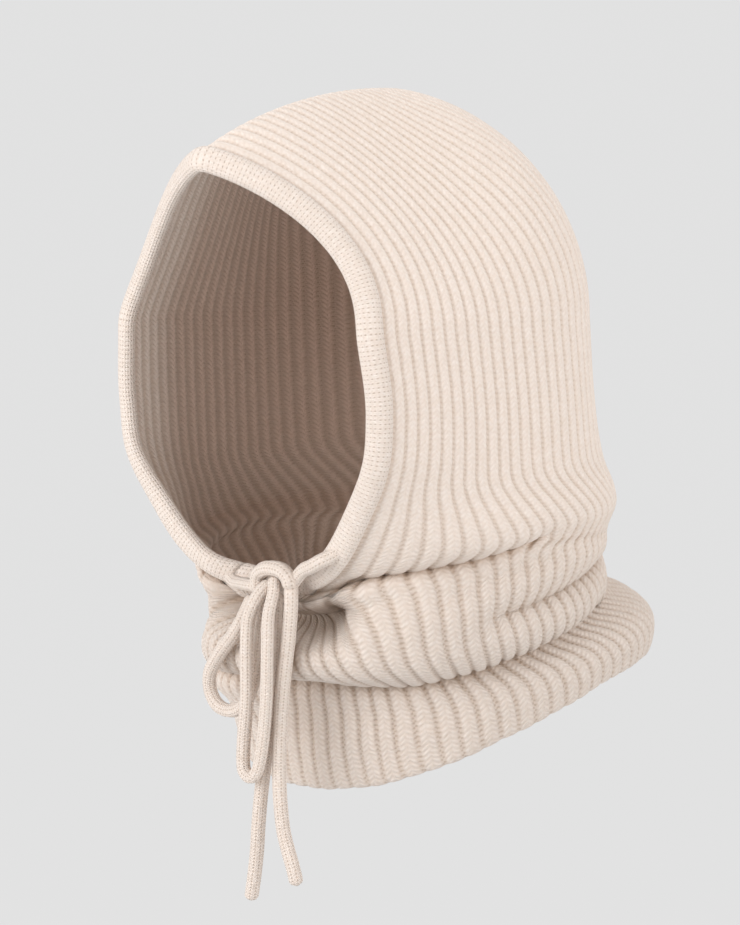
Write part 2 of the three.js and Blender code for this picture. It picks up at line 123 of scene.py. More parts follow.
# The folds. Each runs between two places round the ring, which are 0 at the front's centre and 1 at
# the back's, and minus on the wearer's right, and between two levels. The pocket under the chin is
# the one sharp fold.
CREASE_COLUMNS = ("from", "to", "start", "end", "bow", "width", "depth", "lip", "fade", "sharp")
CREASES = [
    (0.1, 0.54, 0.86, 0.84, 0.18, 0.06, 8, 3, 0.12, 2),
    (-0.15, 0.165, 1.1, 1.16, 0, 0.11, 26, 3, 0.05, 4),
    (0.22, 0.6, 1.18, 1.09, 0, 0.055, 4, 1, 0.15, 2),
    (0.33, 0.84, 1.27, 1.17, 0.03, 0.055, 8, 3, 0.1, 2),
    (-0.65, 0.72, 1.5, 1.42, 0.08, 0.05, 6, 3, 0.06, 2),
    (-0.92, -0.4, 1.16, 1.3, 0.04, 0.055, 6, 2, 0.1, 2),
    (-0.62, -0.1, 1.2, 1.24, 0.03, 0.11, 17, 3, 0.15, 2),
    (-0.5, 0.02, 1.6, 1.6, 0, 0.12, -14, 0, 0.1, 2),
]

# How sharp a soft fold is at most, and how much the lips of a fold rise
FOLD_SHARP = 2
LIP_LIFT = 1.6

# The levels over which the pocket opens
POCKET_TOP = (1.0, 1.05)

# The casing round the face: its section, its turn in towards the face, how deep it sinks, how far it
# lies from the knit's edge, how round it is (1 is an ellipse) and the rows and columns of its mesh
BINDING_WIDTH = 13.5
BINDING_THICKNESS = 9
BINDING_TURN = math.radians(35)
BINDING_SINK = 0.4
BINDING_GAP = 1.2
BINDING_ROUND = 0.9
BINDING_ROWS = 420
BINDING_SIDES = 28

# The cord's routes, as its solids lie
CORD = 7
LINK_LEFT = [(46.9, -108.2, -232.1), (41.6, -108.8, -235), (35, -107.8, -237.7)]
LINK_RIGHT = [(-19.5, -97, -248.8), (-11, -101.5, -248.4), (-3.5, -104.5, -248.3), (0, -105.5, -248.2)]
LOOP_LONG = [
    (11.5, -113, -250), (9.5, -116.5, -256), (7.3, -118, -264.3), (7.2, -119, -278.4),
    (6.2, -118, -303.1), (2.6, -116, -322.6), (0.9, -115, -335.7), (1.9, -115, -341.7),
    (6, -115, -344.3), (10.1, -115, -341.3), (12.8, -115, -333.3), (15.8, -116, -321.2),
    (19.4, -118, -301.7), (21, -119, -277.2), (20.5, -117.5, -261), (19.8, -113, -250),
]
LOOP_SHORT = [
    (1, -107, -253), (-2.5, -109.5, -262.6), (-7.7, -110.7, -271.6), (-19.1, -109.3, -283.1),
    (-28, -107.1, -293.4), (-31.2, -105, -301.2), (-29.1, -105, -307.7), (-23.4, -106, -312.2),
    (-14.7, -107, -313.5), (-5.6, -108, -310.1), (1.5, -109, -300.5), (6.5, -110, -284.5),
    (8.4, -109, -266.6), (8.6, -107, -254),
]
TAIL_LEFT = [
    (28.1, -109, -249), (28.8, -110, -257.2), (27.2, -110, -272.6), (24.4, -110, -290.5),
    (21.6, -109, -306.2), (19.5, -108, -324.3), (18.2, -107, -339.9), (18.8, -107, -355.2),
    (19.9, -106, -370.6), (22.9, -106, -380.5), (26.3, -106, -389.3), (28.4, -105, -398.9),
]
TAIL_RIGHT = [
    (16, -107, -254), (17.2, -109, -263.4), (17.4, -110, -278.5), (15.5, -109.5, -299.1),
    (12, -108, -320), (8.4, -107, -338.5), (5.9, -107, -354.2), (4.1, -107, -369.8),
    (2.2, -106, -383.1), (0.4, -106, -396.3), (-3, -105, -410.3),
]
KNOT_TURN = [
    (9, -106.5, -253), (5.4, -108, -248), (6.2, -108.5, -241.5), (13.5, -110, -237.9),
    (22.2, -110, -238.3), (27, -109.5, -242.4), (27.9, -109, -248),
]
KNOT_CORD = 8.4

# Where the cords' ends are hidden: inside the casing, behind the knot and under its turn
INSIDE_CASING_LEFT = [(55.5, -99.5, -225), (51.8, -103.6, -229)]
INSIDE_CASING_RIGHT = [(-29.5, -93.5, -243.8), (-25, -94.6, -247.2)]
UNDER_KNOT_LEFT = [(29.5, -106.8, -242.4), (26.6, -107, -246.4)]
UNDER_KNOT_RIGHT = [(7.5, -105.6, -250), (13, -105.5, -252)]
LOOP_TOP_LEFT = (14, -108, -245)
LOOP_TOP_RIGHT = (17.4, -109.6, -242)

# The knot's core
KNOT_CENTRE = (16, -104, -243.5)
KNOT_SIZE = (18, 9, 13)
KNOT_ROWS, KNOT_COLUMNS = 17, 33

# The cord's mesh, how much wider it is than thick, how far its columns of knit stand out and how
# its ends draw in
CORD_STEP = 1.2
CORD_SIDES = 24
CORD_FLAT = 0.9
WALE_SWELL = 0.05
END_ROUND = 3
END_LEAST = 0.02

# The size of the stitches in millimetres, the columns of them round a cord and the rows of them to
# each row of the knot's core
RIB_STITCH = 2.6
BINDING_PITCH = 2.3
BINDING_STITCH = 2.0
CORD_WALES = 8
CORD_STITCH = 1.7
KNOT_STITCHES = 0.5


def step(value, low, high):
    """0 below low, 1 above high and a smooth rise between them."""
    t = np.clip((value - low) / (high - low), 0, 1)
    return t * t * (3 - 2 * t)


def column_at(rows, column, at):
    """A smooth curve through one column of a table."""
    xs = np.array([row[0] for row in rows], float)
    ys = np.array([row[column] for row in rows], float)
    span, slope = np.diff(xs), np.diff(ys) / np.diff(xs)
    tangent = np.empty_like(ys)
    tangent[1:-1] = (slope[:-1] * span[1:] + slope[1:] * span[:-1]) / (span[:-1] + span[1:])
    tangent[0], tangent[-1] = slope[0], slope[-1]
    x = min(max(at, xs[0]), xs[-1])
    i = min(max(int(np.searchsorted(xs, x, side="right")) - 1, 0), len(xs) - 2)
    h = span[i]
    t = (x - xs[i]) / h
    return (
        (2 * t**3 - 3 * t**2 + 1) * ys[i]
        + (t**3 - 2 * t**2 + t) * h * tangent[i]
        + (3 * t**2 - 2 * t**3) * ys[i + 1]
        + (t**3 - t**2) * h * tangent[i + 1]
    )


def level(at):
    """The measures of the ring at a level."""
    ring = {name: column_at(LEVELS, i, at) for i, name in enumerate(LEVEL_COLUMNS) if i}
    ring["edge"] = column_at(FACE_EDGE, 1, at)
    if at < 1:
        reach = ring["centre"] - column_at(FACE_EDGE, 2, at)
        ring["fore"] = reach / (1 - (ring["edge"] / ring["half"]) ** RING_FRONT) ** (1 / RING_FRONT)
    return ring


def ring_points(ring, turn):
    """Points of half a ring. turn runs from 0 at the front's centre to pi at the back's."""
    c = np.cos(turn)
    power = np.where(c > 0, 2 / RING_FRONT, 2 / RING_BACK)
    along = np.sign(c) * np.abs(c) ** power
    z = ring["side"] + (ring["front"] - ring["back"]) / 2 * along
    z = z + ((ring["front"] + ring["back"]) / 2 - ring["side"]) * along**2
    z = z - ring["dip"] * np.clip(along, 0, 1) ** FRONT_DIP_POWER
    x = ring["half"] * np.abs(np.sin(turn)) ** power
    y = ring["centre"] - np.where(c > 0, ring["fore"], ring["rear"]) * along
    return np.stack([x, y, z], -1)


RING_STEPS = 400
measured = {}


def measured_ring(at):
    """A ring with its turns listed against the share of its length, so that ribs lie evenly."""
    key = round(at, 5)
    if key not in measured:
        ring = level(at)
        turns = np.linspace(0, math.pi, RING_STEPS + 1)
        points = ring_points(ring, turns)
        shares = np.concatenate([[0], np.cumsum(np.linalg.norm(np.diff(points, axis=0), axis=1))])
        shares /= shares[-1]
        half = RING_STEPS // 2 + 1
        edge_turn = np.interp(ring["edge"], points[:half, 0], turns[:half])
        free_turn = np.interp(column_at(UNGATHERED, 1, at), points[:half, 0], turns[:half])
        edge_share, free_share = np.interp([edge_turn, free_turn], turns, shares)
        measured[key] = (ring, turns, shares, float(edge_share), float(free_share))
    return measured[key]


def creased(points, ring, place, at):
    """Ring points pressed in by the folds that cross them."""
    out = np.stack([
        points[:, 0] / ring["half"] ** 2,
        (points[:, 1] - ring["centre"]) / ((ring["fore"] + ring["rear"]) / 2) ** 2,
    ], -1)
    out /= np.linalg.norm(out, axis=1, keepdims=True)
    for row in CREASES:
        crease = dict(zip(CREASE_COLUMNS, row))
        t = np.clip((place - crease["from"]) / (crease["to"] - crease["from"]), 0, 1)
        middle = crease["start"] + (crease["end"] - crease["start"]) * t + crease["bow"] * 4 * t * (1 - t)
        ends = np.clip((place - crease["from"]) / crease["fade"], 0, 1)
        ends = ends * np.clip((crease["to"] - place) / crease["fade"], 0, 1)
        off = (at - middle) / crease["width"]
        strength = np.exp(-(np.abs(off) ** crease["sharp"])) * ends * ends * (3 - 2 * ends)
        if crease["sharp"] > FOLD_SHARP:
            strength = strength * step(at, *POCKET_TOP)
        points[:, :2] -= out * (crease["depth"] * strength)[:, None]
        points[:, 2] += crease["lip"] * LIP_LIFT * off * strength
    return points


def neck_points(at, share, sign):
    """Points at shares of half a ring, on the side that sign gives: 1 the wearer's left."""
    ring, turns, shares = measured_ring(at)[:3]
    points = creased(ring_points(ring, np.interp(share, shares, turns)), ring, sign * share, at)
    points[:, 0] *= sign
    return points


def crown_points(rise, ribs, sign):
    """Points of the crown. rise runs from 0 at the ears to 1 at the centre line."""
    ring, turns, shares, edge = measured_ring(0)[:4]
    foot = ring_points(ring, np.interp(edge + (1 - edge) * ribs / SIDE_RIBS, shares, turns))
    height = CROWN_TOP - ring["side"]
    aim = np.arctan2(foot[:, 0], ring["centre"] - foot[:, 1])
    over = np.radians(OPENING_TOP_ANGLE + (LAST_RIB_ANGLE - OPENING_TOP_ANGLE) * ribs / SIDE_RIBS)
    turn = rise * math.pi / 2
    x = np.sin(aim) * math.cos(turn)
    y = -np.cos(aim) + (np.cos(aim) - np.cos(over)) * math.sin(turn) ** 2
    z = np.sin(over) * math.sin(turn)
    roof = (z / height) ** 2 / ((x / ring["half"]) ** 2 + (z / height) ** 2)
    reach = np.where(y > 0, ring["rear"] + (ROOF_BACK_REACH - ring["rear"]) * roof,
                     ring["fore"] + (ROOF_FRONT_REACH - ring["fore"]) * roof)
    power = np.where(y > 0, RING_BACK + (ROOF_BACK - RING_BACK) * roof,
                     RING_FRONT + (ROOF_FRONT - RING_FRONT) * roof)
    backward = np.clip(0.5 + y / np.sqrt(x * x + y * y + z * z) / ARCH_CHANGE / 2, 0, 1)
    arch = ARCH_FRONT + (ARCH_BACK - ARCH_FRONT) * backward**2 * (3 - 2 * backward)
    across = ((np.abs(x) / ring["half"]) ** arch + (z / height) ** arch) ** (power / arch)
    size = (across + (np.abs(y) / reach) ** power) ** (-1 / power)
    return np.stack([sign * x * size, ring["centre"] + y * size, ring["side"] + z * size], -1)


def swept(ribs, station):
    """Where the ribs lie at a station: forward over the crown and back at the jaw."""
    back = SWEEP_ABOVE * step(station, -1, 0)
    back += (SWEEP_BELOW - SWEEP_ABOVE) * step(station, *SWEEP)
    return ribs + back * np.sin(math.pi * ribs / SIDE_RIBS)


def side_points(ribs, station, sign):
    """One row across a side. A station is a level below the ears, and minus the rise above them."""
    lies = swept(ribs, station)
    if station < 0:
        return crown_points(-station, lies, sign)
    edge, free = measured_ring(station)[3:]
    even = free + (1 - free) * lies / SIDE_RIBS
    drawn = (free - edge) * np.exp(-ribs / GATHER_REACH) * (1 - ribs / SIDE_RIBS)
    return neck_points(station, even - drawn, sign)


def front_points(ribs, station):
    """One row across the front, below the chin."""
    edge = measured_ring(station)[3]
    share = edge * np.abs(ribs) / (FRONT_RIBS / 2)
    return neck_points(station, share, np.where(ribs < 0, -1.0, 1.0))


def unit(vectors):
    """Each vector at length 1."""
    return vectors / np.maximum(np.linalg.norm(vectors, axis=-1, keepdims=True), 1e-12)


def grid_normals(grid, flip):
    """Normals of a grid of points, by differences along and across it."""
    across = np.gradient(grid, axis=0)
    along = np.gradient(grid, axis=1)
    return unit(np.cross(along, across) * flip)


def level_at_centre(normals):
    """A side's normals, with those on the centre line laid in the mirror plane."""
    normals[-1, :, 0] = 0
    normals[:, 0, 0] = 0
    return unit(normals)


# Where the grids' rows and columns lie
RIB_COLUMNS = (0, 0.09, 0.16, 0.24, 0.36, 0.5, 0.64, 0.76, 0.84, 0.91)
INNER_COLUMNS = (0, 0.25, 0.5, 0.75)
CROWN_ROWS = 54
LEVEL_ROWS = 120

# A rib's section: the valley's half width as a share of the rib, and how square and full it is
VALLEY = 0.08
RIB_SQUARE, RIB_FULL = 3.0, 0.7

# The share of the ribs' height that is left on the head and on the collar, what the hem and the
# pocket take off it, and the levels over which each comes in
HEAD_RELIEF, COLLAR_RELIEF, COLLAR_FROM = 0.55, 0.8, (0.6, 1.4)
HEM_FLAT, HEM_FROM = 0.7, (1.8, 2.0)
POCKET_FLAT, POCKET_FOOT = 0.65, (1.2, 1.35)

# How far the knit's edge reaches into the casing, and over how many rows that fades at the chin
TUCK, TUCK_FADE = 2.2, 4

# Folds too slight to be in the solids: height in millimetres, size in metres, and the level from
# which they come in on the sides
FINE_FOLD = 0.9
FOLD_SCALE = 0.022
FOLD_SEED = 3.0
FOLDS_FROM, FOLDS_OVER = 0.4, 0.5


def rib_profile(ribs):
    """Height of a rib across its width: a rounded column of knit beside a narrow valley."""
    t = np.mod(ribs, 1.0)
    k = np.clip((t - VALLEY) / (1 - 2 * VALLEY), 0, 1)
    return (1 - np.abs(2 * k - 1) ** RIB_SQUARE) ** RIB_FULL


def columns(low, high, parts):
    """The places of a grid's columns, in ribs, with the same parts in each rib."""
    ribs = [rib + part for rib in range(low, high) for part in parts]
    return np.array(ribs + [high], float)


STATIONS = np.concatenate([
    np.linspace(-1, 0, CROWN_ROWS + 1)[:-1],
    np.linspace(0, LEVELS[-1][0], LEVEL_ROWS + 1),
])
CHIN_ROW = int(np.argmin(np.abs(STATIONS - 1)))
STATIONS[CHIN_ROW] = 1.0


def soft_noise(points, scale, seed):
    """Smooth noise at each point, for folds too slight to be in the solids."""
    flat = points.reshape(-1, 3) * MM / scale
    values = [noise.noise(Vector(p) + Vector((seed, 0, 0))) for p in flat]
    return np.array(values).reshape(points.shape[:-1])


def surface(kind, ribs):
    """The smooth form of one patch of knit: its points, outward normals and lengths down each rib."""
    if kind == "front":
        rows = [front_points(ribs, at) for at in STATIONS[CHIN_ROW:]]
        sign = 1.0
    else:
        sign = 1.0 if kind == "left" else -1.0
        rows = [side_points(ribs, at, sign) for at in STATIONS]
    grid = np.stack(rows, 1)
    normals = grid_normals(grid, sign)
    if kind != "front":
        normals = level_at_centre(normals)
    length = np.concatenate([
        np.zeros((len(ribs), 1)),
        np.cumsum(np.linalg.norm(np.diff(grid, axis=1), axis=2), axis=1),
    ], 1)
    return grid, normals, length


def pieces_of_knit(parts, relief, offset):
    """The three patches of one face of the knit, with the lines that they share made the same.

    relief is the ribs' full height and offset the face's distance from the middle form.
    """
    patches = {}
    for kind in ("left", "right", "front"):
        low, high = (-FRONT_RIBS // 2, FRONT_RIBS // 2) if kind == "front" else (0, SIDE_RIBS)
        ribs = columns(low, high, parts)
        grid, normals, length = surface(kind, ribs)
        patches[kind] = {"ribs": ribs, "grid": grid, "normals": normals, "length": length}
    front = patches["front"]
    for kind, edge in (("left", -1), ("right", 0)):
        side = patches[kind]
        shared = unit(side["normals"][0, CHIN_ROW:] + front["normals"][edge])
        side["normals"][0, CHIN_ROW:] = shared
        front["normals"][edge] = shared
    for kind in ("left", "right"):
        chin = patches[kind]["length"][0, CHIN_ROW]
        half = front["ribs"] > 0 if kind == "left" else front["ribs"] <= 0
        front["length"][half] += chin
    for kind, patch in patches.items():
        rows = STATIONS[CHIN_ROW:] if kind == "front" else STATIONS
        depth = HEAD_RELIEF + (COLLAR_RELIEF - HEAD_RELIEF) * step(rows, *COLLAR_FROM)
        depth = relief * depth * (1 - HEM_FLAT * step(rows, *HEM_FROM))
        if kind == "front":
            depth *= 1 - POCKET_FLAT * (1 - step(rows, *POCKET_FOOT))
        height = offset + rib_profile(patch["ribs"])[:, None] * depth[None, :]
        folds = FINE_FOLD * soft_noise(patch["grid"], FOLD_SCALE, FOLD_SEED)
        if kind != "front":
            folds *= np.clip((STATIONS - FOLDS_FROM) / FOLDS_OVER, 0, 1)[None, :]
        patch["points"] = patch["grid"] + patch["normals"] * (height + folds)[..., None]
    for kind, patch in patches.items():
        grid, points = patch["grid"], patch["points"]
        if kind == "front":
            reach = TUCK * np.clip(FRONT_RIBS / 2 - np.abs(patch["ribs"]), 0, 1)
            points[:, 0] += unit(grid[:, 0] - grid[:, 1]) * reach[:, None]
        else:
            reach = TUCK * np.clip((CHIN_ROW - np.arange(CHIN_ROW)) / TUCK_FADE, 0, 1)
            points[0, :CHIN_ROW] += unit(grid[0, :CHIN_ROW] - grid[1, :CHIN_ROW]) * reach[:, None]
    return patches


def mesh_object(name, points, faces, uvs=None, normals=None):
    """A smooth mesh. uvs has a pair for each point, or for each corner of each face."""
    mesh = bpy.data.meshes.new(name)
    mesh.from_pydata((np.asarray(points) * MM).tolist(), [], faces)
    if uvs is not None:
        layer = mesh.uv_layers.new(name="knit")
        uvs = np.asarray(uvs, dtype=np.float32)
        if len(uvs) == len(mesh.vertices):
            loops = np.empty(len(mesh.loops), dtype=np.int64)
            mesh.loops.foreach_get("vertex_index", loops)
            uvs = uvs[loops]
        layer.data.foreach_set("uv", uvs.ravel())
    mesh.polygons.foreach_set("use_smooth", [True] * len(mesh.polygons))
    if normals is not None:
        mesh.normals_split_custom_set_from_vertices([tuple(n) for n in normals])
    obj = bpy.data.objects.new(name, mesh)
    bpy.context.scene.collection.objects.link(obj)
    return obj


def grid_faces(rows, cols, start, flip):
    """The quads of a grid of points, the first of which has the index start."""
    index = start + np.arange(rows * cols).reshape(rows, cols)
    a, b, c, d = index[:-1, :-1], index[1:, :-1], index[1:, 1:], index[:-1, 1:]
    quads = np.stack([a, d, c, b] if flip else [a, b, c, d], -1).reshape(-1, 4)
    return quads.tolist()


def knit_corners(patch, kind, flip):
    """Knit coordinates of each face's corners: ribs across, and stitches along each rib's own middle."""
    ribs = patch["ribs"]
    own = np.searchsorted(ribs, np.floor(ribs[:-1]) + 0.5)
    down = patch["length"][own] / RIB_STITCH * (1 if kind == "right" else -1)
    across = ribs + (SIDE_RIBS if kind == "front" else 0)
    near = np.broadcast_to(across[:-1, None], down.shape)
    far = np.broadcast_to(across[1:, None], down.shape)
    a, b = np.stack([near, down], -1)[:, :-1], np.stack([far, down], -1)[:, :-1]
    c, d = np.stack([far, down], -1)[:, 1:], np.stack([near, down], -1)[:, 1:]
    return np.stack([a, d, c, b] if flip else [a, b, c, d], 2).reshape(-1, 2)


def hood_patch(kind, outer, inner):
    """One patch of the hood as a wall with two faces."""
    flip = kind != "right"
    points, uvs, normals, faces = [], [], [], []
    for patch, inward in ((outer[kind], False), (inner[kind], True)):
        rows, cols = patch["points"].shape[:2]
        faces += grid_faces(rows, cols, len(points), flip != inward)
        uvs.append(knit_corners(patch, kind, flip != inward))
        points += patch["points"].reshape(-1, 3).tolist()
        shape_normals = grid_normals(patch["points"], -1.0 if kind == "right" else 1.0)
        if kind != "front":
            shape_normals = level_at_centre(shape_normals)
        normals += (shape_normals * (-1 if inward else 1)).reshape(-1, 3).tolist()
    return mesh_object(f"rib_knit_{kind}", points, faces, np.concatenate(uvs), normals)


def smooth_route(route, spacing):
    """Points along a smooth curve through a route, about a spacing apart."""
    p = [Vector(q) for q in route]
    p = [2 * p[0] - p[1]] + p + [2 * p[-1] - p[-2]]
    out = []
    for i in range(1, len(p) - 2):
        count = max(2, round((p[i + 1] - p[i]).length / spacing))
        for j in range(count):
            t = j / count
            out.append(0.5 * (
                2 * p[i] + (p[i + 1] - p[i - 1]) * t
                + (2 * p[i - 1] - 5 * p[i] + 4 * p[i + 1] - p[i + 2]) * t**2
                + (3 * p[i] - p[i - 1] - 3 * p[i + 1] + p[i + 2]) * t**3
            ))
    out.append(p[-2])
    return out


def cord_tube(name, route, diameter, first_side):
    """A knitted tube along a route, with its ends drawn in. first_side faces the wide way."""
    line = smooth_route(route, CORD_STEP)
    count = len(line)
    length = [0.0]
    for a, b in zip(line, line[1:]):
        length.append(length[-1] + (b - a).length)
    side = Vector(first_side)
    points, uvs = [], []
    for i, centre in enumerate(line):
        tangent = (line[min(i + 1, count - 1)] - line[max(i - 1, 0)]).normalized()
        side = (side - tangent * side.dot(tangent)).normalized()
        other = tangent.cross(side)
        from_end = min(length[i], length[-1] - length[i]) / END_ROUND
        swell = math.sqrt(max(1 - (1 - min(from_end, 1)) ** 2, END_LEAST))
        for k in range(CORD_SIDES + 1):
            turn = 2 * math.pi * k / CORD_SIDES
            wale = 1 + WALE_SWELL * math.cos(CORD_WALES * turn)
            radius = diameter / 2 * swell * wale
            points.append(centre + side * math.cos(turn) * radius
                          + other * math.sin(turn) * radius * CORD_FLAT)
            uvs.append((k * CORD_WALES / CORD_SIDES + 0.5, length[i] / CORD_STITCH))
    faces = grid_faces(count, CORD_SIDES + 1, 0, True)
    return mesh_object(name, points, faces, uvs), [tuple(p * MM) for p in line], length[-1] * MM


class Nodes:
    """Short calls that add shader nodes to a material and give back their outputs."""

    def __init__(self, material):
        self.tree = material.node_tree
        self.tree.nodes.clear()

    def add(self, kind, **values):
        node = self.tree.nodes.new(kind)
        for name, value in values.items():
            setattr(node, name, value)
        return node

    def put(self, socket, value):
        if isinstance(value, bpy.types.NodeSocket):
            self.tree.links.new(value, socket)
        else:
            socket.default_value = value

    def math(self, operation, *values, clamp=False):
        node = self.add("ShaderNodeMath", operation=operation, use_clamp=clamp)
        for socket, value in zip(node.inputs, values):
            self.put(socket, value)
        return node.outputs[0]

    def split(self, vector):
        node = self.add("ShaderNodeSeparateXYZ")
        self.put(node.inputs[0], vector)
        return tuple(node.outputs)

    def noise(self, vector, scale, detail, roughness):
        node = self.add("ShaderNodeTexNoise")
        self.put(node.inputs["Vector"], vector)
        node.inputs["Scale"].default_value = scale
        node.inputs["Detail"].default_value = detail
        node.inputs["Roughness"].default_value = roughness
        return node.outputs["Fac"]

    def ramp(self, value, low, high):
        """0 below low, 1 above high and a smooth rise between them."""
        node = self.add("ShaderNodeMapRange", interpolation_type="SMOOTHSTEP")
        self.put(node.inputs[0], value)
        node.inputs[1].default_value = low
        node.inputs[2].default_value = high
        return node.outputs[0]

    def mix(self, factor, one, two):
        node = self.add("ShaderNodeMix", data_type="RGBA")
        self.put(node.inputs[0], factor)
        self.put(node.inputs[6], one)
        self.put(node.inputs[7], two)
        return node.outputs[2]


# Colours are linear: the wool's lighter and darker fibres and a darker colour for the painted shade in
# the gaps between stitches, outside, and the same three darkened as painted shade for the inner face
WOOL = ((0.94, 0.85, 0.785, 1), (0.88, 0.765, 0.68, 1), (0.52, 0.385, 0.285, 1))
INNER_PAINTED_SHADE = ((0.76, 0.60, 0.51, 1), (0.67, 0.52, 0.43, 1), (0.40, 0.29, 0.22, 1))
WOOL_SURFACE = {
    "Roughness": 0.95,
    "Specular IOR Level": 0.12,
    "Sheen Weight": 0.5,
    "Sheen Roughness": 0.5,
    "Sheen Tint": (1.0, 0.95, 0.9, 1),
}

# Noises, as scale, detail and roughness: what sways the stitches, the fuzz and fibres of the bump,
# and the two mottlings of the colour
WANDER = (260, 2, 0.5)
FUZZ = (1500, 3, 0.65)
FIBRE = (5200, 2, 0.6)
HEATHER, HEATHER_RANGE = (420, 4, 0.6), (0.3, 0.75)
FLECK, FLECK_RANGE, FLECK_SHARE = (1300, 2, 0.7), (0.58, 0.8), 0.5

# How far the stitches sway, in columns and rows, the shape of their legs and holes, and the shares
# of the bump's height
SWAY_ACROSS, SWAY_ALONG = 0.16, 0.5
LEG_NARROW, LEG_END, LEG_FULL = 1.4, 0.1, 0.5
HOLE_NARROW, HOLE_DEPTH = 5.0, 0.8
KNIT_HEIGHT, FUZZ_HEIGHT, FIBRE_HEIGHT = 0.6, 0.75, 0.3

# Heights in metres between which the stitches turn plainer and painted shade darkens the inner face
# lower down, and the reach and range of the painted shade in deep folds
COLLAR_PLAIN, HEAD_PLAIN = -0.27, -0.20
INNER_DEEP, INNER_DEEP_SHADE = (-0.25, -0.16), 0.4
FOLD_REACH, FOLD_RANGE, FOLD_SAMPLES = 0.018, (0.15, 1.0), 8


def chevrons(n, u, v, slant, share):
    """A column of knit stitches: two legs that meet in its middle. Heights from 0 to 1."""
    centred = n.math("ABSOLUTE", n.math("SUBTRACT", n.math("FRACT", u), 0.5))
    k = n.math("DIVIDE", centred, share / 2, clamp=True)
    phase = n.math("FRACT", n.math("ADD", v, n.math("MULTIPLY", k, slant)))
    leg = n.math("POWER", n.math("SINE", n.math("MULTIPLY", phase, math.pi)), LEG_NARROW)
    across = n.math("SINE", n.math("MULTIPLY", k, math.pi))
    across = n.math("ADD", n.math("MULTIPLY", across, 1 - LEG_END), LEG_END)
    across = n.math("POWER", across, LEG_FULL)
    return n.math("MULTIPLY", leg, across), k


def stitches(n, place, slant, share, line_from):
    """The rib coordinate, the stitches' legs, the lines between columns and the holes along them."""
    u, v = n.split(n.add("ShaderNodeUVMap", uv_map="knit").outputs[0])[:2]
    wander = n.math("SUBTRACT", n.noise(place, *WANDER), 0.5)
    swayed = n.math("ADD", v, n.math("MULTIPLY", wander, SWAY_ALONG))
    legs, k = chevrons(n, n.math("ADD", u, n.math("MULTIPLY", wander, SWAY_ACROSS)), swayed, slant, share)
    line = n.ramp(k, line_from, 1.0)
    wave = n.math("ABSOLUTE", n.math("SINE", n.math("MULTIPLY", swayed, math.pi)))
    return u, legs, line, n.math("POWER", wave, HOLE_NARROW)


def wool_bump(n, place, legs, line, hole, strength, depth):
    """The normal of the stitches, with the wool's fuzz and fibres over them."""
    knit = n.math("SUBTRACT", legs, n.math("MULTIPLY", line, n.math("MULTIPLY", hole, HOLE_DEPTH)))
    fuzz = n.math("MULTIPLY", n.noise(place, *FUZZ), FUZZ_HEIGHT)
    height = n.math("ADD", n.math("MULTIPLY", knit, KNIT_HEIGHT), fuzz)
    height = n.math("ADD", height, n.math("MULTIPLY", n.noise(place, *FIBRE), FIBRE_HEIGHT))
    bump = n.add("ShaderNodeBump")
    n.put(bump.inputs["Strength"], strength)
    bump.inputs["Distance"].default_value = depth
    n.put(bump.inputs["Height"], height)
    return bump.outputs[0]


